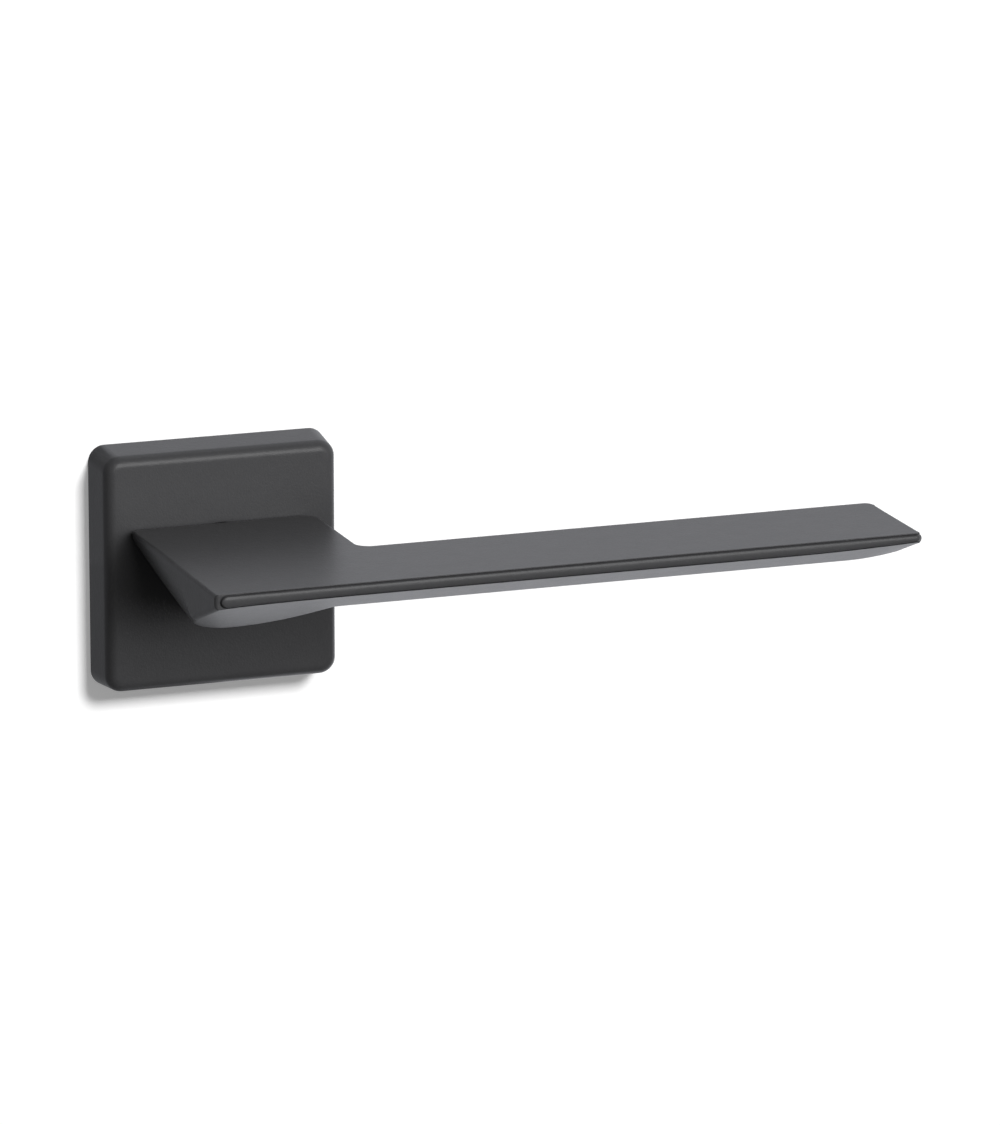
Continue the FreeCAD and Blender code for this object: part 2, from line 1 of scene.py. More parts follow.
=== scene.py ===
import bpy
import json
import math
import numpy as np
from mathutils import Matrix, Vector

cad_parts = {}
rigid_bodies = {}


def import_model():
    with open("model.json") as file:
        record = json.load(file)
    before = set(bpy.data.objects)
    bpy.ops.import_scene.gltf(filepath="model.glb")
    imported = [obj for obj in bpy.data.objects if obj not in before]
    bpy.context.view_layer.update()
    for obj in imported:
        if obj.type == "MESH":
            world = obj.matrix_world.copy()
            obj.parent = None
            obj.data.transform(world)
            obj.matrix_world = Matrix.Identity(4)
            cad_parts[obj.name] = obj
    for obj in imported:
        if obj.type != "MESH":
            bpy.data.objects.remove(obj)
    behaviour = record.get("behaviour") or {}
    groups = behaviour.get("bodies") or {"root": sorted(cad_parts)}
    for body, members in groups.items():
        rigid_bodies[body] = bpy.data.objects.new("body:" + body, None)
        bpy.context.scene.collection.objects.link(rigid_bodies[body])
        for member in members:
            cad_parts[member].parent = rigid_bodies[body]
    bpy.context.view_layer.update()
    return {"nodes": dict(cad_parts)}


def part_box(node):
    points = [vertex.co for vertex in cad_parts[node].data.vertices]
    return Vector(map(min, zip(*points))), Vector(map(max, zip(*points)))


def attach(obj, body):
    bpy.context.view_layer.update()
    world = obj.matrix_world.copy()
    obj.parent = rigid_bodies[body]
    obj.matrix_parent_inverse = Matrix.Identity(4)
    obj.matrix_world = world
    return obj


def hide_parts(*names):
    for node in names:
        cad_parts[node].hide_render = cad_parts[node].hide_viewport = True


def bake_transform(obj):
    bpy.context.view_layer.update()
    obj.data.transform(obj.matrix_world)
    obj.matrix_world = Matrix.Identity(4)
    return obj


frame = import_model()

# ---- backing gasket ----
# A thin pad of closed-cell foam that lies on the door behind the base plate.
# It is die-cut from sheet, so its faces show fine burst cells.

MM = 0.001


class Amount:
    """A number that varies, as over a surface: arithmetic on it adds Math nodes to its finish."""

    def __init__(self, finish, socket):
        self.finish = finish
        self.socket = socket

    def combined(self, operation, first, second):
        node = self.finish.node("ShaderNodeMath", {"operation": operation},
                                {0: first, 1: second})
        return Amount(self.finish, node.outputs[0])

    def __add__(self, other):
        return self.combined("ADD", self, other)

    def __radd__(self, other):
        return self.combined("ADD", other, self)

    def __mul__(self, other):
        return self.combined("MULTIPLY", self, other)

    def __rmul__(self, other):
        return self.combined("MULTIPLY", other, self)

    def __sub__(self, other):
        return self.combined("SUBTRACT", self, other)

    def __rsub__(self, other):
        return self.combined("SUBTRACT", other, self)


class Finish:
    """A material, or a world's air, that is being wired: its patterns lie in metres."""

    def __init__(self, name, library=bpy.data.materials):
        self.made = library.new(name)
        self.made.use_nodes = True
        self.tree = self.made.node_tree
        self.tree.nodes.clear()
        self.place = self.node("ShaderNodeTexCoord").outputs["Object"]

    def node(self, kind, settings=None, values=None):
        """Adds a node: its settings first, then a value or a link for each socket."""
        node = self.tree.nodes.new(kind)
        for setting, choice in (settings or {}).items():
            setattr(node, setting, choice)
        for socket, value in (values or {}).items():
            if isinstance(value, Amount):
                value = value.socket
            if isinstance(value, bpy.types.NodeSocket):
                self.tree.links.new(value, node.inputs[socket])
            else:
                node.inputs[socket].default_value = value
        return node

    def noise(self, size, detail=2.0, roughness=0.5, stretch=(1, 1, 1)):
        """Noise about zero, from -1 to 1, whose features have the given size in metres."""
        scaled = self.node("ShaderNodeMapping", {}, {"Vector": self.place, "Scale": stretch})
        made = self.node("ShaderNodeTexNoise", {"noise_dimensions": "3D"},
                         {"Vector": scaled.outputs[0], "Scale": 1 / size,
                          "Detail": detail, "Roughness": roughness})
        return Amount(self, made.outputs["Fac"]) * 2.0 - 1.0

    def tinted(self, colour, amount, other):
        """A colour that goes over to another by an amount from 0 to 1.

        A Mix node's colours are its sockets 6 and 7, and its mixed colour is output 2.
        """
        mixed = self.node("ShaderNodeMix", {"data_type": "RGBA"},
                          {0: amount, 6: (*colour, 1), 7: (*other, 1)})
        return mixed.outputs[2]

    def done(self, colour, roughness, relief, depth, **fixed):
        """Wires the surface shader: what varies is linked, and the relief's depth is in metres."""
        bump = self.node("ShaderNodeBump", {},
                         {"Height": relief, "Strength": 1.0, "Distance": depth})
        values = {"Base Color": colour, "Roughness": roughness, "Normal": bump.outputs[0]}
        for name, value in fixed.items():
            values[name.replace("_", " ")] = value
        shader = self.node("ShaderNodeBsdfPrincipled", {}, values)
        self.node("ShaderNodeOutputMaterial", {}, {0: shader.outputs[0]})
        return self.made


def coat(piece, material):
    """Gives a piece one material all over."""
    piece.data.materials.clear()
    piece.data.materials.append(material)


FOAM_DARK = (0.028, 0.028, 0.03)
FOAM_LIGHT = (0.07, 0.07, 0.072)
FOAM_ROUGHNESS = 0.86
FOAM_CELLS_PER_METRE = 2600.0
FOAM_CELL_DEPTH = 0.12 * MM
foam = Finish("closed_cell_foam")
cells = foam.node("ShaderNodeTexVoronoi", {"feature": "F1"},
                  {"Vector": foam.place, "Scale": FOAM_CELLS_PER_METRE})
cell_distance = Amount(foam, cells.outputs["Distance"])
foam_mottle = foam.noise(4 * MM) * 0.3 + 0.4
foam_material = foam.done(foam.tinted(FOAM_DARK, foam_mottle, FOAM_LIGHT),
                          foam_mottle * 0.1 + FOAM_ROUGHNESS, cell_distance, FOAM_CELL_DEPTH)
coat(frame["nodes"]["backing_gasket"], foam_material)

# ---- base plate ----
# The plate that the whole half set is built on, with the spring's pocket, four posts
# and two bolt-through lugs. It is pressure die-cast in zinc alloy and left unpainted.

CAST_GREY = (0.5, 0.51, 0.53)
CAST_DULL = (0.36, 0.37, 0.39)
CAST_ROUGHNESS = 0.38
CAST_GRAIN_DEPTH = 0.02 * MM
cast = Finish("die_cast_zinc")
cast_cloud = cast.noise(6 * MM, 4.0, 0.6) * 0.5 + 0.5
cast_grain = cast.noise(0.5 * MM, 3.0, 0.6)
cast_material = cast.done(cast.tinted(CAST_GREY, cast_cloud, CAST_DULL),
                          cast_cloud * 0.14 + CAST_ROUGHNESS,
                          cast_grain, CAST_GRAIN_DEPTH, Metallic=1.0)
coat(frame["nodes"]["base_plate"], cast_material)

# ---- retaining ring, wave washer, stop pins, anchor pin and cover clips ----
# Small parts of hardened spring steel: the ring and washer keep the lever in the rose, the
# pins are pressed into the plate's floor, and the clips hold the cover. All are oiled.

OILED_GREY = (0.33, 0.33, 0.34)
OILED_BROWN = (0.2, 0.185, 0.17)
OILED_ROUGHNESS = 0.26
OILED_MARK_DEPTH = 0.008 * MM
OILED_MARK_STRETCH = (1, 0.2, 1)
sprung = Finish("oiled_spring_steel")
oil = sprung.noise(3 * MM, 3.0, 0.55) * 0.5 + 0.5
drawn_marks = sprung.noise(0.3 * MM, 2.0, 0.5, OILED_MARK_STRETCH)
sprung_material = sprung.done(sprung.tinted(OILED_GREY, oil, OILED_BROWN),
                              oil * 0.12 + OILED_ROUGHNESS,
                              drawn_marks, OILED_MARK_DEPTH, Metallic=1.0)
for name in ("retaining_ring", "wave_washer", "stop_pins", "spring_anchor_pin", "cover_clips"):
    coat(frame["nodes"][name], sprung_material)

# ---- guide ring and thrust washer ----
# The lever's journal turns in a moulded ring of black nylon in the middle of the rose, and
# a washer of the same nylon keeps the driver's flange off the plate.

NYLON_BLACK = (0.018, 0.018, 0.019)
NYLON_WORN = (0.035, 0.035, 0.036)
NYLON_ROUGHNESS = 0.42
NYLON_GRAIN_DEPTH = 0.01 * MM
nylon = Finish("black_nylon")
nylon_cloud = nylon.noise(2 * MM, 3.0) * 0.5 + 0.5
nylon_material = nylon.done(nylon.tinted(NYLON_BLACK, nylon_cloud, NYLON_WORN),
                            nylon_cloud * 0.15 + NYLON_ROUGHNESS,
                            nylon.noise(0.4 * MM), NYLON_GRAIN_DEPTH)
for name in ("guide_ring", "thrust_washer"):
    coat(frame["nodes"][name], nylon_material)

# ---- spindle, spring driver, cassette cover, rivets and washers ----
# The spindle is a cold-drawn square bar; the driver is machined, and the cover and washers
# are pressed from sheet. All are zinc-plated steel with a faint blue-white bloom.

ZINC_BRIGHT = (0.62, 0.63, 0.65)
ZINC_BLOOM = (0.47, 0.49, 0.52)
ZINC_ROUGHNESS = 0.27
ZINC_LINE_DEPTH = 0.006 * MM
ZINC_LINE_STRETCH = (1, 0.04, 1)
zinc = Finish("zinc_plated_steel")
bloom = zinc.noise(5 * MM, 4.0, 0.6) * 0.5 + 0.5
draw_lines = zinc.noise(0.35 * MM, 2.0, 0.5, ZINC_LINE_STRETCH)
zinc_material = zinc.done(zinc.tinted(ZINC_BRIGHT, bloom, ZINC_BLOOM),
                          bloom * 0.12 + draw_lines * 0.05 + ZINC_ROUGHNESS,
                          draw_lines, ZINC_LINE_DEPTH, Metallic=1.0)
for name in ("spindle", "spring_driver", "cassette_cover", "cassette_rivets", "screw_washers"):
    coat(frame["nodes"][name], zinc_material)

# ---- return spring ----
# A torsion spring of round wire wound twice around the driver's sleeve. One leg stands
# against the anchor pin and the other pushes on the driver, so it winds up with the lever.


def skin(name, points, loop=False, caps=False):
    """A closed mesh over a grid of points in millimetres, rows by columns by X, Y, Z.

    Each cell is a quad, and the last column joins the first.  With loop, the last row
    joins the first; with caps, the first and the last row are each closed by one face.
    The faces are turned outwards by the sign of the volume: the sum of the triple products.
    """
    rows, columns = points.shape[:2]
    index = np.arange(rows * columns).reshape(rows, columns)
    index = np.concatenate([index, index[:, :1]], axis=1)
    if loop:
        index = np.concatenate([index, index[:1]], axis=0)
    quads = np.stack([index[:-1, :-1], index[:-1, 1:], index[1:, 1:], index[1:, :-1]], axis=-1)
    quads = quads.reshape(-1, 4)
    flat = points.reshape(-1, 3) * MM
    faces = quads.tolist()
    if caps:
        faces += [index[0, :columns][::-1].tolist(), index[-1, :columns].tolist()]
    corners = flat[quads]
    volume = np.einsum("ij,ij->", corners[:, 0], np.cross(corners[:, 1], corners[:, 2]))
    volume += np.einsum("ij,ij->", corners[:, 0], np.cross(corners[:, 2], corners[:, 3]))
    mesh = bpy.data.meshes.new(name)
    mesh.from_pydata(flat.tolist(), [], faces)
    if volume < 0:
        mesh.flip_normals()
    piece = bpy.data.objects.new(name, mesh)
    bpy.context.scene.collection.objects.link(piece)
    return piece


def smooth(piece, sharp_degrees=38):
    """Rounds the shading, and keeps edges sharper than an angle."""
    piece.data.polygons.foreach_set("use_smooth", np.ones(len(piece.data.polygons), bool))
    piece.data.set_sharp_from_angle(angle=math.radians(sharp_degrees))
    piece.data.update()


def wire(path, radius, sides=14):
    """A tube's points: at each point of a path, a circle square to the path's direction.

    The circle's first axis is the part of the spindle's axis that is square to the path,
    and its second is their cross product.
    """
    ahead = np.gradient(path, axis=0)
    ahead /= np.linalg.norm(ahead, axis=1, keepdims=True)
    axis = np.array([0.0, 1.0, 0.0])
    first = axis - (ahead @ axis)[:, None] * ahead
    first /= np.linalg.norm(first, axis=1, keepdims=True)
    second = np.cross(ahead, first)
    turn = np.linspace(0, 2 * np.pi, sides, endpoint=False)[:, None]
    circle = np.cos(turn) * first[:, None] + np.sin(turn) * second[:, None]
    return path[:, None] + radius * circle


SPRING_WIRE_R = 0.6
SPRING_START = 200.0
SPRING_TURNS = 1.96
spring_low, spring_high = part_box("return_spring")
spring_back = -spring_high.y / MM
spring_front = -spring_low.y / MM
spring_mean_r = spring_high.x / MM - SPRING_WIRE_R
coil_share = np.linspace(0, 1, 220)
coil_angle = np.radians(SPRING_START + 360 * SPRING_TURNS * coil_share)
coil_length = spring_front - spring_back - 2 * SPRING_WIRE_R
coil_depth = spring_back + SPRING_WIRE_R + coil_share * coil_length
coil_path = np.stack([spring_mean_r * np.cos(coil_angle), -coil_depth,
                      spring_mean_r * np.sin(coil_angle)], axis=1)
spring = skin("torsion_spring", wire(coil_path, SPRING_WIRE_R), caps=True)
smooth(spring)
coat(spring, sprung_material)
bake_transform(spring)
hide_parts("return_spring")

# ---- fixing screws ----
# Two slotted machine screws that pass through the door and pull both half sets together.
# They are cold-headed and thread-rolled, then zinc plated.

THREAD_PITCH = 0.7
THREAD_DEPTH = 0.36
THREAD_ROWS_PER_PITCH = 6
THREAD_RUNOUT = 1.0
POINT_LENGTH = 0.8
POINT_INSET = 0.45
SCREW_HEAD_R = 3.5
SCREW_HEAD_HEIGHT = 2.4
SCREW_SHANK_R = 1.75
SCREW_THREAD_R = 2.0
SCREW_UNDER_HEAD = 3.6
SCREW_THREAD_START = 9.0
SCREW_END = 42.0
SCREW_SIDES = 32
SCREW_SPACING = 38.0


def screw_body(height):
    """A screw's points: a circle carried along the axis, whose radius on the thread is the
    full radius less a triangle wave of the length in pitches minus the turn.  The wave
    grows over the runout, and at the point the radius shrinks in a straight line.
    """
    turn = np.linspace(0, 2 * np.pi, SCREW_SIDES, endpoint=False)
    head_back = -SCREW_UNDER_HEAD
    head_front = head_back - SCREW_HEAD_HEIGHT
    head_y = np.array([head_front, head_front + 0.15, head_front + 0.6,
                       head_back - 0.1, head_back])
    head_r = SCREW_HEAD_R - np.array([0.9, 0.35, 0.0, 0.0, 0.1])
    shank_y = np.array([head_back, SCREW_THREAD_START - 0.4])
    shank_r = np.array([SCREW_SHANK_R, SCREW_SHANK_R])
    pitches = (SCREW_END - SCREW_THREAD_START) / THREAD_PITCH
    thread_y = np.linspace(SCREW_THREAD_START, SCREW_END, int(pitches * THREAD_ROWS_PER_PITCH))
    phase = (thread_y[:, None] / THREAD_PITCH - turn[None] / (2 * np.pi)) % 1.0
    runout = np.clip((thread_y - SCREW_THREAD_START) / THREAD_RUNOUT, 0.1, 1)[:, None]
    point = np.clip((thread_y - SCREW_END + POINT_LENGTH) / POINT_LENGTH, 0, 1)[:, None]
    wave = THREAD_DEPTH * runout * np.abs(2 * phase - 1)
    thread_r = SCREW_THREAD_R - wave - POINT_INSET * point
    plain_y = np.concatenate([head_y, shank_y])
    plain_r = np.concatenate([head_r, shank_r])[:, None] + np.zeros(SCREW_SIDES)[None]
    y = np.concatenate([plain_y, thread_y])[:, None] + np.zeros(SCREW_SIDES)[None]
    radius = np.concatenate([plain_r, thread_r])
    return np.stack([radius * np.cos(turn), y, height + radius * np.sin(turn)], axis=-1)


def carved(piece, cutters, operation="DIFFERENCE"):
    """The piece with each cutter taken away from it, or joined to it."""
    for cutter in cutters:
        change = piece.modifiers.new(cutter.name, "BOOLEAN")
        change.operation = operation
        change.solver = "EXACT"
        change.object = cutter
        bpy.context.view_layer.update()
        shaped = piece.evaluated_get(bpy.context.evaluated_depsgraph_get())
        result = bpy.data.meshes.new_from_object(shaped)
        piece.modifiers.clear()
        piece.data = result
        bpy.data.objects.remove(cutter)
    return piece


def bar(name, low, high):
    """A box between two corners, as a ring of four corners carried along X."""
    ring = [[low[1], low[2]], [high[1], low[2]], [high[1], high[2]], [low[1], high[2]]]
    rows = [np.column_stack([np.full(4, x), np.array(ring)]) for x in (low[0], high[0])]
    return skin(name, np.array(rows), caps=True)


SLOT_WIDTH = 1.0
SLOT_DEPTH = 1.2
screw_face = -SCREW_UNDER_HEAD - SCREW_HEAD_HEIGHT
for label, height in (("upper", SCREW_SPACING / 2), ("lower", -SCREW_SPACING / 2)):
    screw = skin("fixing_screw_" + label, screw_body(height), caps=True)
    slot_low = (-SCREW_HEAD_R - 1, screw_face - 1, height - SLOT_WIDTH / 2)
    slot_high = (SCREW_HEAD_R + 1, screw_face + SLOT_DEPTH, height + SLOT_WIDTH / 2)
    carved(screw, [bar("slot_cutter", slot_low, slot_high)])
    smooth(screw, 50)
    coat(screw, zinc_material)
    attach(screw, "rose")
    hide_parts("fixing_screws")

# ---- rose cover ----
# The square cover that snaps over the base plate, cast in zinc alloy with a round front
# edge and drafted sides. It carries the same fine matte black powder coat as the lever.

COAT_BLACK = (0.033, 0.033, 0.0345)
COAT_GREY = (0.041, 0.041, 0.0425)
COAT_SHEEN = 0.28
COAT_ROUGHNESS = 0.36
COAT_RELIEF_DEPTH = 0.024 * MM
powder = Finish("matte_black_powder_coat")
flow = powder.noise(3.5 * MM, 3.0, 0.55)
grain = powder.noise(0.42 * MM, 2.0, 0.6)
speck = powder.noise(0.9 * MM, 2.0, 0.5)
powder_material = powder.done(
    powder.tinted(COAT_BLACK, grain * 0.45 + flow * 0.2 + 0.5, COAT_GREY),
    flow * 0.02 + grain * 0.04 + COAT_ROUGHNESS,
    grain * 0.6 + speck * 0.4 + flow * 0.5, COAT_RELIEF_DEPTH, Specular_IOR_Level=COAT_SHEEN)

ROSE_HALF = 25.0
ROSE_DEPTH = 10.0
ROSE_DRAFT = 0.074
ROSE_CORNER_R = 3.4
ROSE_EDGE_R = 2.1
ROSE_WALL = 1.5
ROSE_HOLE_R = 9.36
HOLE_EDGE_R = 0.3
HOLE_RIM = 3.0
CORNER_TIGHTENS = 0.9


def square_outline(half, corner):
    """A square with round corners as X and Z: each quarter is an arc, then a straight side.

    The straight side's points are spread by a cosine, so they are close by the corners.
    """
    arc = np.radians(np.linspace(0, 90, 15))
    side = (1 - np.cos(np.linspace(0, np.pi, 30)[1:-1])) / 2
    inner = half - corner
    arc_x = inner + corner * np.cos(arc)
    arc_z = inner + corner * np.sin(arc)
    side_x = inner - 2 * inner * side
    side_z = np.full(side.size, half)
    x = np.concatenate([arc_x, side_x])
    z = np.concatenate([arc_z, side_z])
    quarters = ((x, z), (-z, x), (-x, -z), (z, -x))
    return np.concatenate([np.stack(quarter, 1) for quarter in quarters])


def at_depth(outline, depth):
    """An outline's points in the plane at a depth in front of the door."""
    return np.column_stack([outline[:, 0], np.full(len(outline), -float(depth)), outline[:, 1]])


def rose_points():
    """The cover as outlines carried over it: up the sides, round the front edge, over the
    face to the hole while the square turns into a circle, down the hole and back inside.
    """
    rows = []
    side_top = ROSE_DEPTH - ROSE_EDGE_R
    for depth in (0.0, 0.15, 0.5, 2.5, 5.0, 7.0):
        outline = square_outline(ROSE_HALF - ROSE_DRAFT * depth, ROSE_CORNER_R)
        rows.append(at_depth(outline, depth))
    lean = ROSE_HALF - ROSE_DRAFT * side_top
    for turn in np.radians(np.linspace(0, 90, 16)):
        inset = ROSE_EDGE_R * (1 - math.cos(turn)) + ROSE_DRAFT * ROSE_EDGE_R * math.sin(turn)
        depth = side_top + ROSE_EDGE_R * math.sin(turn)
        outline = square_outline(lean - inset, ROSE_CORNER_R - CORNER_TIGHTENS * inset)
        rows.append(at_depth(outline, depth))
    edge = rows[-1][:, [0, 2]]
    direction = edge / np.linalg.norm(edge, axis=1, keepdims=True)
    lip = direction * (ROSE_HOLE_R + HOLE_EDGE_R)
    for share in (0.04, 0.2, 0.45, 0.7, 0.92, 1.0):
        rows.append(at_depth(edge + (lip - edge) * share, ROSE_DEPTH))
    for turn in np.radians(np.linspace(0, 90, 6)[1:]):
        radius = ROSE_HOLE_R + HOLE_EDGE_R * (1 - math.sin(turn))
        depth = ROSE_DEPTH - HOLE_EDGE_R * (1 - math.cos(turn))
        rows.append(at_depth(direction * radius, depth))
    inside = ROSE_DEPTH - ROSE_WALL
    rows.append(at_depth(direction * ROSE_HOLE_R, inside))
    rows.append(at_depth(direction * (ROSE_HOLE_R + HOLE_RIM), inside))
    half_inside = ROSE_HALF - ROSE_WALL
    inner_corner = ROSE_CORNER_R - ROSE_WALL / 2
    for depth in (inside, inside - 0.3, 3.0, 0.2, 0.0):
        outline = square_outline(half_inside - ROSE_DRAFT * depth, inner_corner)
        rows.append(at_depth(outline, depth))
    return np.array(rows)


rose = skin("rose_cover_shell", rose_points(), loop=True)
smooth(rose)
coat(rose, powder_material)
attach(rose, "rose")
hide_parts("rose_cover")

# ---- grub screw ----
# A small socket set screw in the neck's underside that locks the lever on the spindle.
# It is hardened steel with a black oxide skin that goes brown where it is handled.

OXIDE_BLACK = (0.025, 0.025, 0.027)
OXIDE_BROWN = (0.06, 0.045, 0.035)
OXIDE_ROUGHNESS = 0.3
OXIDE_GRAIN_DEPTH = 0.01 * MM
oxide = Finish("black_oxide_steel")
oxide_wear = oxide.noise(1.2 * MM, 3.0, 0.6) * 0.4 + 0.35
oxide_material = oxide.done(oxide.tinted(OXIDE_BLACK, oxide_wear, OXIDE_BROWN),
                            oxide_wear * 0.2 + OXIDE_ROUGHNESS,
                            oxide.noise(0.3 * MM), OXIDE_GRAIN_DEPTH, Metallic=0.8)
coat(frame["nodes"]["lever_grub_screw"], oxide_material)

# ---- lever ----
# One casting in zinc alloy: a flat-topped neck and blade with a rounded lip along the
# front and a keel below. It is ground smooth and powder coated like the rose.

NECK_HALF = 19.4
LEVER_TOP = 9.6
NECK_FRONT = 10.4
PROJECTION = 66.6
BACK_EDGE = 38.9
GRIP_LENGTH = 129.5
LIP_BULGE = 0.5
LIP_END = -16.7
LIP_END_LENGTH = 1.55
LIP_DROP = 0.3
LIP_EDGE_R = 0.12
CREASE_HALF = 0.16
CREASE_DEPTH = 0.34
KEEL_DEPTH = 52.75
KEEL_HEIGHT = 1.46
BACK_EDGE_HEIGHT = 8.3
TOP_EDGE_R = 0.35
TIP_START = 100.0
KEEL_TIP_START = 118.0
KEEL_TIP_RISE = 1.1
TIP_R = 1.8
TIP_FRONT_R = 1.2
END_EDGE_R = 0.5
INNER_R = 3.0
BACK_RIGHT_R = 3.5
BACK_LEFT_R = 1.7
FRONT_LEFT_R = 1.0
LEFT_EDGE_R = 0.8
LEFT_FOOT_R = 1.1


def higher(first, second, blend):
    """The higher of two heights, rounded where they cross: half of their sum plus the
    root of their difference squared and the blend squared.
    """
    return 0.5 * (first + second + np.sqrt((first - second) ** 2 + blend ** 2))


def lower(first, second, blend):
    """The lower of two heights, rounded where they cross."""
    return -higher(-first, -second, blend)


LIP_LOW = 7.05
LIP_LEFT_DROP = 0.5
LIP_LEFT_X = -18.7
LIP_LEFT_FADE = 9.0
LIP_TIP_RISE = 0.7


def lip_bottom(x):
    """Height of the lip's lower edge: level, a little lower at its left end by an
    exponential, and rising to the tip with the square of the way along it.
    """
    tip = np.clip((x - TIP_START) / (GRIP_LENGTH - TIP_START), 0, 1)
    left = np.exp((LIP_LEFT_X - x) / LIP_LEFT_FADE)
    return LIP_LOW - LIP_LEFT_DROP * left + LIP_TIP_RISE * tip ** 2


SIDE_HEIGHT = 9.0
SIDE_MARGIN = 0.05
NECK_KEEL_SWING = -17.4
NECK_KEEL_START = -10.0
NECK_KEEL_RISE = 13.5
NECK_KEEL_BOW = 9.9
LEFT_POWER = 1.26
LEFT_POWER_GAIN = 1.57
RIGHT_POWER = 2.58
RIGHT_POWER_LOSS = 1.56
BACK_PLANE_LEFT_SLOPE = 2.0
BACK_BLEND = 0.4
RIDGE_BLEND = 0.3
RIDGE_BLEND_GAIN = 0.3
RIDGE_GAIN_FROM = 6.0
RIDGE_GAIN_RUN = 24.0


def underside(x, depth):
    """Height of the lever's underside at a place in plan.

    The neck is the side's height less a superellipse of the way from the keel to the side,
    whose power and keel change with depth.  The blade is two planes that meet at its keel.
    Behind the keel the lower of neck and blade shows, and the front plane cuts off both.
    The ridge between them is rounded more towards the left.
    """
    share = (depth - NECK_FRONT) / (PROJECTION - NECK_FRONT)
    keel = NECK_KEEL_SWING * share
    keel_height = NECK_KEEL_START + NECK_KEEL_RISE * share - NECK_KEEL_BOW * share ** 2
    on_left = x < keel
    reach = NECK_HALF + SIDE_MARGIN + np.where(on_left, keel, -keel)
    power = np.where(on_left, LEFT_POWER + LEFT_POWER_GAIN * share,
                     RIGHT_POWER - RIGHT_POWER_LOSS * share)
    across = np.clip(np.abs(x - keel) / reach, 0, 1)
    neck = SIDE_HEIGHT - (SIDE_HEIGHT - keel_height) * (1 - across ** power) ** (1 / power)
    tip = np.clip((x - KEEL_TIP_START) / (GRIP_LENGTH - KEEL_TIP_START), 0, 1)
    blade_keel = KEEL_HEIGHT + KEEL_TIP_RISE * tip ** 2
    run = (depth - KEEL_DEPTH) / (PROJECTION - LIP_BULGE - KEEL_DEPTH)
    front = blade_keel + (lip_bottom(x) - blade_keel) * run
    run = (KEEL_DEPTH - depth) / (KEEL_DEPTH - BACK_EDGE)
    back = blade_keel + (BACK_EDGE_HEIGHT - blade_keel) * run
    behind = lower(neck, back + BACK_PLANE_LEFT_SLOPE * np.maximum(0, -x), BACK_BLEND)
    gain = np.clip((RIDGE_GAIN_FROM - x) / RIDGE_GAIN_RUN, 0, 1)
    ridge = higher(front, behind, RIDGE_BLEND + RIDGE_BLEND_GAIN * gain)
    return np.minimum(ridge, SIDE_HEIGHT)


LEFT_ROWS_CROWD = 1.6
LIP_ROWS_PAST_END = 0.4


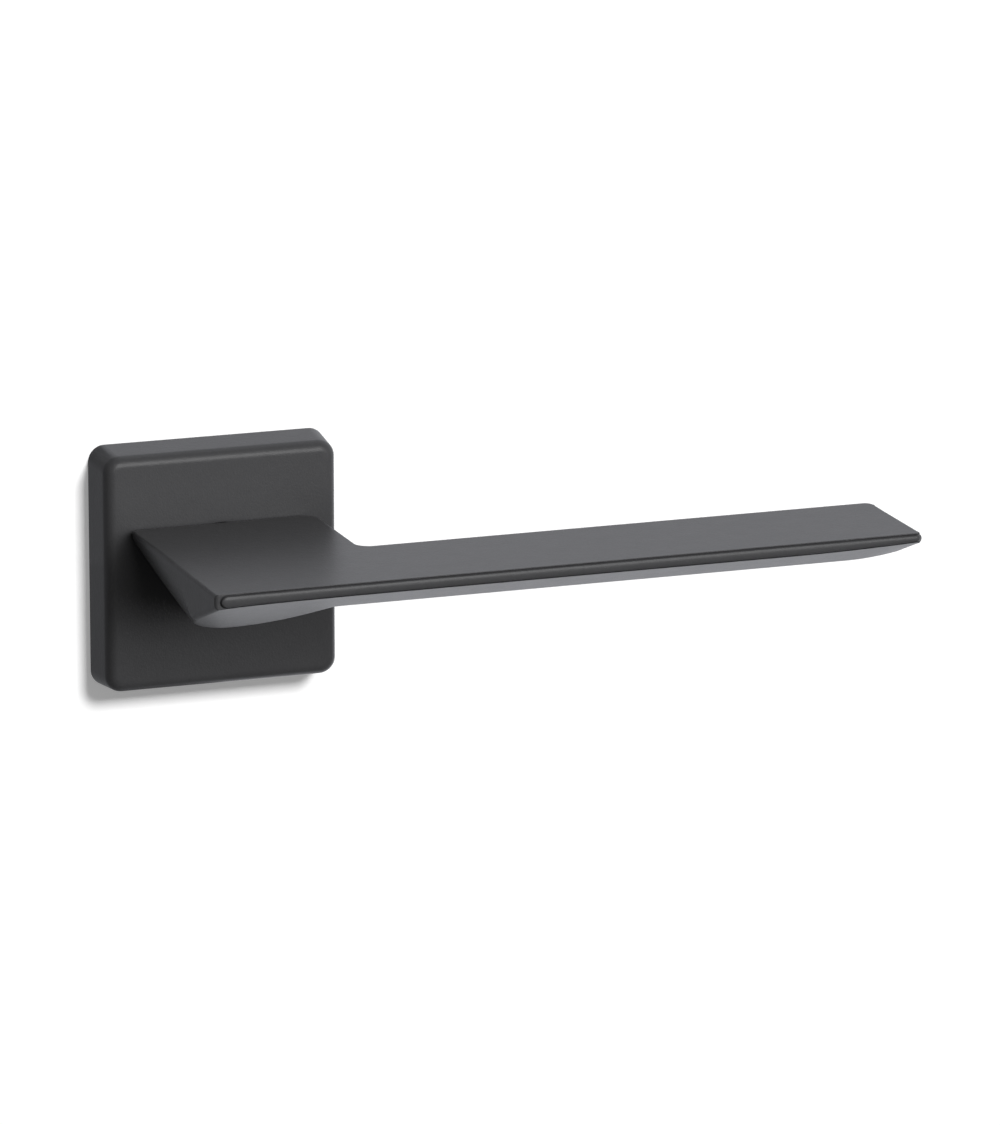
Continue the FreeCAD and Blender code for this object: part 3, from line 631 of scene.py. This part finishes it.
def lever_plan():
    """The lever's inner and outer edge in plan, pair by pair from the rose to the tip.

    Along the neck the pairs lie straight across.  Round the inner corner each pair lies on
    a ray from the corner's centre, while the outer edge runs down the left side, round the
    front corner and along the front.  Along the blade they lie straight across again, and
    at the tip both edges turn in on arcs.  Gives the edges, their outward directions, and
    how far each outer point belongs to the front.
    """
    start = BACK_RIGHT_R * (1 - np.cos(np.radians(np.linspace(0, 90, 16))))
    straight = BACK_EDGE - INNER_R - NECK_FRONT
    past = np.concatenate([start, np.linspace(BACK_RIGHT_R, straight, 56)[1:-1]])
    depth = NECK_FRONT + past

    def corner(radius):
        """A back corner's quarter circle: how far the side shifts, and how far it leans."""
        gone = radius - np.minimum(past, radius)
        return np.sqrt(radius ** 2 - gone ** 2) - radius, gone / radius

    shift, lean = corner(BACK_RIGHT_R)
    inner = [np.stack([NECK_HALF + shift, depth], 1)]
    inner_out = [np.stack([np.sqrt(1 - lean ** 2), -lean], 1)]
    shift, lean = corner(BACK_LEFT_R)
    outer = [np.stack([-NECK_HALF - shift, depth], 1)]
    outer_out = [np.stack([-np.sqrt(1 - lean ** 2), -lean], 1)]
    front = [np.zeros(depth.size)]

    centre = np.array([NECK_HALF + INNER_R, BACK_EDGE - INNER_R])
    left_run = 1 - (1 - np.linspace(0, 1, 80)) ** LEFT_ROWS_CROWD
    left_depth = centre[1] + (PROJECTION - FRONT_LEFT_R - centre[1]) * left_run[:-1]
    turn = np.radians(np.linspace(0, 90, 13))
    corner_x = -NECK_HALF + FRONT_LEFT_R * (1 - np.cos(turn))
    corner_depth = PROJECTION - FRONT_LEFT_R * (1 - np.sin(turn))
    dense_to = LIP_END + LIP_ROWS_PAST_END
    lip_x = np.concatenate([np.linspace(-NECK_HALF + FRONT_LEFT_R, dense_to, 32)[1:],
                            np.linspace(dense_to, centre[0], 90)[1:]])
    fan = np.concatenate([np.stack([np.full(left_depth.size, -NECK_HALF), left_depth], 1),
                          np.stack([corner_x, corner_depth], 1),
                          np.stack([lip_x, np.full(lip_x.size, PROJECTION)], 1)])
    fan_out = np.concatenate([np.tile([-1.0, 0.0], (left_depth.size, 1)),
                              np.stack([-np.cos(turn), np.sin(turn)], 1),
                              np.tile([0.0, 1.0], (lip_x.size, 1))])
    ray = np.stack([centre[0] - fan[:, 0], fan[:, 1] - centre[1]], 1)
    ray /= np.linalg.norm(ray, axis=1, keepdims=True)
    inner.append(centre + INNER_R * np.stack([-ray[:, 0], ray[:, 1]], 1))
    inner_out.append(np.stack([ray[:, 0], -ray[:, 1]], 1))
    outer.append(fan)
    outer_out.append(fan_out)
    front.append(np.clip(fan_out[:, 1], 0, 1))

    tip_centre = GRIP_LENGTH - END_EDGE_R - TIP_R
    x = np.concatenate([np.linspace(centre[0], TIP_START, 44)[1:],
                        np.linspace(TIP_START, tip_centre, 34)[1:]])
    turn = np.radians(np.linspace(0, 90, 15))[1:]
    x = np.concatenate([x, tip_centre + TIP_R * np.sin(turn)])
    turned = np.concatenate([np.zeros(x.size - turn.size), turn])
    inset = TIP_R * (1 - np.cos(turned))
    inner.append(np.stack([x, BACK_EDGE + inset], 1))
    inner_out.append(np.stack([np.sin(turned), -np.cos(turned)], 1))
    lean = (x - (GRIP_LENGTH - END_EDGE_R - TIP_FRONT_R)) / TIP_FRONT_R
    lean = np.clip(lean, 0, 1)
    ahead = np.sqrt(1 - lean ** 2)
    outer.append(np.stack([x, PROJECTION - TIP_FRONT_R * (1 - ahead)], 1))
    outer_out.append(np.stack([lean, ahead], 1))
    front.append(np.ones(x.size))
    return [np.concatenate(part) for part in (inner, inner_out, outer, outer_out, front)]


FOOT_ROUND_FROM = 43.0
FOOT_ROUND_RUN = 10.0


def foot_radius(depth, front):
    """Radius of the left wall's lower edge: it grows in a straight line with depth."""
    return LEFT_FOOT_R * np.clip((depth - FOOT_ROUND_FROM) / FOOT_ROUND_RUN, 0, 1) * (1 - front)


def wall_inset(x, depth, height, bottom, front):
    """How far a wall stands in from the plan's outline.

    Its top and lower edges are rounded by quarter circles; the top one is small over the
    lip.  Along the front the wall is set back, and the lip bulges out from it again by half
    an ellipse, whose left end is another half ellipse in front view.  A crease runs all
    round the lip: a parabola across its outline.
    """
    edge_r = LEFT_EDGE_R + (LIP_EDGE_R - LEFT_EDGE_R) * front
    edge_r = np.minimum(edge_r, (LEVER_TOP - bottom) / 2)
    over = np.clip(height - (LEVER_TOP - edge_r), 0, edge_r)
    base = LIP_BULGE * front + edge_r - np.sqrt(edge_r ** 2 - over ** 2)
    foot_r = foot_radius(depth, front)
    under = np.clip(bottom + foot_r - height, 0, foot_r)
    base = base + foot_r - np.sqrt(foot_r ** 2 - under ** 2)
    lip_top = LEVER_TOP - LIP_DROP
    lip_low = bottom + CREASE_HALF
    half = (lip_top - lip_low) / 2
    up = (height - lip_low) / half - 1
    away = np.sqrt(up ** 2 + (np.clip(LIP_END - x, 0, None) / LIP_END_LENGTH) ** 2)
    lip = LIP_BULGE * (1 - np.sqrt(np.clip(1 - away ** 2, 0, 1)))
    crease = CREASE_DEPTH * np.clip(1 - ((away - 1) * half / CREASE_HALF) ** 2, 0, 1)
    lipped = np.where(away < 1, lip, base) + crease
    return np.where(front > 0.999, lipped, base)


WALL_ROWS = 53
BELOW_COLUMNS = 118


def lever_points():
    """Closed sections of the lever: over the top, down the outer wall, back under the
    lever by the underside's height, and up the inner wall.  Heights on the walls and
    steps below are spread by a cosine, so they are close at the edges.  The last section
    is then drawn in on a quarter circle, which rounds the tip's end.
    """
    inner, inner_out, outer, outer_out, front = lever_plan()
    foot_inset = LIP_BULGE * front + foot_radius(outer[:, 1], front)
    foot = outer - outer_out * foot_inset[:, None]
    foot_height = underside(foot[:, 0], foot[:, 1])
    heel_height = underside(inner[:, 0], inner[:, 1])

    fall = (1 + np.cos(np.linspace(0, np.pi, WALL_ROWS))) / 2
    height = foot_height[:, None] + (LEVER_TOP - foot_height)[:, None] * fall
    x = np.broadcast_to(outer[:, :1], height.shape)
    inset = wall_inset(x, outer[:, 1:], height, foot_height[:, None], front[:, None])
    wall = outer[:, None] - outer_out[:, None] * inset[:, :, None]
    outer_wall = np.concatenate([wall, height[:, :, None]], axis=2)

    rise = fall[::-1][::2]
    height = heel_height[:, None] + (LEVER_TOP - heel_height)[:, None] * rise
    over = np.clip(height - (LEVER_TOP - TOP_EDGE_R), 0, TOP_EDGE_R)
    inset = TOP_EDGE_R - np.sqrt(TOP_EDGE_R ** 2 - over ** 2)
    wall = inner[:, None] - inner_out[:, None] * inset[:, :, None]
    inner_wall = np.concatenate([wall, height[:, :, None]], axis=2)

    share = np.concatenate([[0, 0.01], np.linspace(0.1, 0.9, 7), [0.99, 1]])[None, :, None]
    over_top = inner_wall[:, -1:] + (outer_wall[:, :1] - inner_wall[:, -1:]) * share
    share = ((1 - np.cos(np.linspace(0, np.pi, BELOW_COLUMNS))) / 2)[None, :, None]
    below = outer_wall[:, -1:, :2] + (inner_wall[:, :1, :2] - outer_wall[:, -1:, :2]) * share
    below_height = underside(below[:, :, 0], below[:, :, 1])
    below = np.concatenate([below, below_height[:, :, None]], axis=2)
    section = np.concatenate([over_top, outer_wall[:, 1:], below[:, 1:], inner_wall[:, 1:-1]],
                             axis=1)

    last = section[-1]
    middle = (last.max(axis=0) + last.min(axis=0)) / 2
    half = (last.max(axis=0) - last.min(axis=0)) / 2
    ends = []
    for turn in np.radians((20, 42, 66, 90)):
        drawn_in = 1 - END_EDGE_R * (1 - math.cos(turn)) / half[1:]
        ring = last.copy()
        ring[:, 0] = np.maximum(last[:, 0], middle[0]) + END_EDGE_R * math.sin(turn)
        ring[:, 1:] = middle[1:] + (last[:, 1:] - middle[1:]) * drawn_in
        ends.append(ring)
    section = np.concatenate([section, np.array(ends)])
    return np.stack([section[:, :, 0], -section[:, :, 1], section[:, :, 2]], axis=2)


JOURNAL_R = 7.6
JOURNAL_ROOT = 1.2
JOURNAL_BACK = 7.64
SOCKET_HALF = 4.05
SOCKET_END = 31.0
GRUB_HOLE_R = 2.55
GRUB_DEPTH = 17.0
GRUB_HOLE_LOW = -20.0
ROUND_SIDES = 64


def round_bar(name, radius, low, high, along_y):
    """A round bar as two circles: along Y about the spindle, or upright by the grub screw."""
    turn = np.linspace(0, 2 * np.pi, ROUND_SIDES, endpoint=False)
    across, up = radius * np.cos(turn), radius * np.sin(turn)
    rows = []
    for end in (low, high):
        end = np.full(ROUND_SIDES, end)
        row = (across, end, up) if along_y else (across, up - GRUB_DEPTH, end)
        rows.append(np.column_stack(row))
    return skin(name, np.array(rows), caps=True)


lever = skin("lever_casting", lever_points(), caps=True)
journal = round_bar("journal", JOURNAL_R, -NECK_FRONT - JOURNAL_ROOT, -JOURNAL_BACK, True)
carved(lever, [journal], "UNION")
socket_low = (-SOCKET_HALF, -SOCKET_END, -SOCKET_HALF)
carved(lever, [bar("socket_cutter", socket_low, (SOCKET_HALF, 0, SOCKET_HALF)),
               round_bar("grub_cutter", GRUB_HOLE_R, GRUB_HOLE_LOW, 0.0, False)])
smooth(lever)
coat(lever, powder_material)
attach(lever, "lever")
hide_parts("lever_handle")

# ---- panel, floor and cards ----
# A matt white panel stands where the door's face is, with a hole under the rose, over a
# pale floor. The coat's sheen reflects neither, but four glowing cards just behind the
# panel, of which the left two are dimmer.

PANEL_HALF = 3.0
PANEL_HOLE_HALF = 0.0235
PANEL_GLOW = 0.25
FLOOR_HALF = 20.0
FLOOR_HEIGHT = -1.8
FLOOR_GLOW = 0.72
CARD_BACK = 0.001
CARD_END = 1.5
CARD_SEAM_UPPER = -0.022
CARD_SEAM_LOWER = 0.004
WHITE = (0.92, 0.92, 0.92)
CARD_WHITE = (0.9, 0.912, 0.962)


def stage_sheet(name, corners, faces, toward, glow, painted=True):
    """A flat one-sided sheet that faces a direction: matt paint with a glow of its own.

    From behind it isn't there.  Without paint it only glows.
    """
    mesh = bpy.data.meshes.new(name)
    mesh.from_pydata([tuple(corner) for corner in corners], [], faces)
    if mesh.polygons[0].normal.dot(toward) < 0:
        mesh.flip_normals()
    sheet = bpy.data.objects.new(name, mesh)
    bpy.context.scene.collection.objects.link(sheet)
    paint_colour, glow_colour = (WHITE, WHITE) if painted else ((0, 0, 0), CARD_WHITE)
    stage = Finish(name + "_paint")
    paint = stage.node("ShaderNodeBsdfDiffuse", {}, {"Color": (*paint_colour, 1)})
    light = stage.node("ShaderNodeEmission", {}, {"Color": (*glow_colour, 1), "Strength": glow})
    lit = stage.node("ShaderNodeAddShader", {}, {0: paint.outputs[0], 1: light.outputs[0]})
    nothing = stage.node("ShaderNodeBsdfTransparent")
    back = stage.node("ShaderNodeNewGeometry").outputs["Backfacing"]
    mixed = stage.node("ShaderNodeMixShader", {},
                       {0: back, 1: lit.outputs[0], 2: nothing.outputs[0]})
    stage.node("ShaderNodeOutputMaterial", {}, {0: mixed.outputs[0]})
    coat(sheet, stage.made)
    return sheet


square = np.array([[-1, -1], [1, -1], [1, 1], [-1, 1]])
panel_plan = np.concatenate([square * PANEL_HOLE_HALF, square * PANEL_HALF]).tolist()
panel_faces = [(i, 4 + i, 4 + (i + 1) % 4, (i + 1) % 4) for i in range(4)]
panel = stage_sheet("panel", [(x, 0.0, z) for x, z in panel_plan], panel_faces,
                    (0, -1, 0), PANEL_GLOW)
floor = stage_sheet("floor", [(x, y, FLOOR_HEIGHT) for x, y in (square * FLOOR_HALF).tolist()],
                    [(0, 1, 2, 3)], (0, 0, 1), FLOOR_GLOW)
for sheet in (panel, floor):
    sheet.visible_diffuse = False
    sheet.visible_glossy = False
for name, left, right, low, high, glow in (
        ("card_upper", CARD_SEAM_UPPER, CARD_END, 0.0, CARD_END, 0.94),
        ("card_lower", CARD_SEAM_LOWER, CARD_END, -CARD_END, 0.0, 1.18),
        ("card_upper_left", -CARD_END, CARD_SEAM_UPPER, 0.0, CARD_END, 0.45),
        ("card_lower_left", -CARD_END, CARD_SEAM_LOWER, -CARD_END, 0.0, 0.4)):
    corners = [(left, CARD_BACK, low), (right, CARD_BACK, low),
               (right, CARD_BACK, high), (left, CARD_BACK, high)]
    card = stage_sheet(name, corners, [(0, 1, 2, 3)], (0, -1, 0), glow, painted=False)
    card.visible_camera = False
    card.visible_diffuse = False
    card.visible_shadow = False
    card.visible_transmission = False

# ---- lamps ----
# Square soft lamps light the front from above and the right, and the back from above.
# One more lights the panel alone, and there only the rose cover casts its shadow.


def lamp(name, place, size, watts):
    """A square soft lamp at a place in metres, turned to the middle of the rose."""
    light = bpy.data.lights.new(name, "AREA")
    light.size = size
    light.energy = watts
    holder = bpy.data.objects.new(name, light)
    bpy.context.scene.collection.objects.link(holder)
    holder.location = place
    away_x, away_y, away_z = place
    holder.rotation_euler = (math.pi / 2 - math.atan2(away_z, math.hypot(away_x, away_y)), 0,
                             math.atan2(-away_y, -away_x) - math.pi / 2)
    return holder


pieces = bpy.data.collections.new("lit_pieces")
for piece in bpy.data.objects:
    if piece.type == "MESH" and not piece.name.startswith(("panel", "floor", "card")):
        pieces.objects.link(piece)
for name, place, size, watts in (
        ("key_lamp", (1.1, -1.75, 0.55), 1.6, 60),
        ("sheen_lamp", (0.35, -2.1, 0.95), 1.3, 32),
        ("back_lamp", (-0.8, 1.7, 1.0), 0.9, 30)):
    soft_lamp = lamp(name, place, size, watts)
    soft_lamp.light_linking.receiver_collection = pieces
    soft_lamp.visible_glossy = name != "key_lamp"
panel_lamp = lamp("panel_lamp", (0.6, -2.1, 1.2), 0.6, 60)
lit_panel = bpy.data.collections.new("panel_lamp_receivers")
lit_panel.objects.link(panel)
shading_rose = bpy.data.collections.new("panel_lamp_blockers")
shading_rose.objects.link(rose)
panel_lamp.light_linking.receiver_collection = lit_panel
panel_lamp.light_linking.blocker_collection = shading_rose

# ---- air and camera ----
# Even white air fills the shadows, and is brighter where the camera looks straight at it.
# The camera stands far off to the left and above, with a long lens, aimed at the blade.

AIR_LIGHT = 0.14
AIR_SEEN = 0.865
air = Finish("studio_air", bpy.data.worlds)
seen = Amount(air, air.node("ShaderNodeLightPath").outputs["Is Camera Ray"])
background = air.node("ShaderNodeBackground", {},
                      {"Color": (*WHITE, 1), "Strength": seen * (AIR_SEEN - AIR_LIGHT) + AIR_LIGHT})
air.node("ShaderNodeOutputWorld", {}, {0: background.outputs[0]})
bpy.context.scene.world = air.made
bpy.context.scene.view_settings.view_transform = "Standard"

CAMERA_AZIMUTH = math.radians(19.669)
CAMERA_ELEVATION = math.radians(14.328)
CAMERA_DISTANCE = 1.6224
AIM_RIGHT = 0.05933
AIM_UP = -0.001289
SENSOR_WIDTH = 36.0
FOCAL_LENGTH = 256.0
backwards = np.array([-math.sin(CAMERA_AZIMUTH) * math.cos(CAMERA_ELEVATION),
                      -math.cos(CAMERA_AZIMUTH) * math.cos(CAMERA_ELEVATION),
                      math.sin(CAMERA_ELEVATION)])
rightwards = np.array([math.cos(CAMERA_AZIMUTH), -math.sin(CAMERA_AZIMUTH), 0.0])
upwards = np.cross(backwards, rightwards)
lens = bpy.data.cameras.new("camera")
lens.sensor_width = SENSOR_WIDTH
lens.lens = FOCAL_LENGTH
camera = bpy.data.objects.new("camera", lens)
bpy.context.scene.collection.objects.link(camera)
camera.location = AIM_RIGHT * rightwards + AIM_UP * upwards + CAMERA_DISTANCE * backwards
camera.rotation_euler = (math.pi / 2 - CAMERA_ELEVATION, 0, -CAMERA_AZIMUTH)
bpy.context.scene.camera = camera
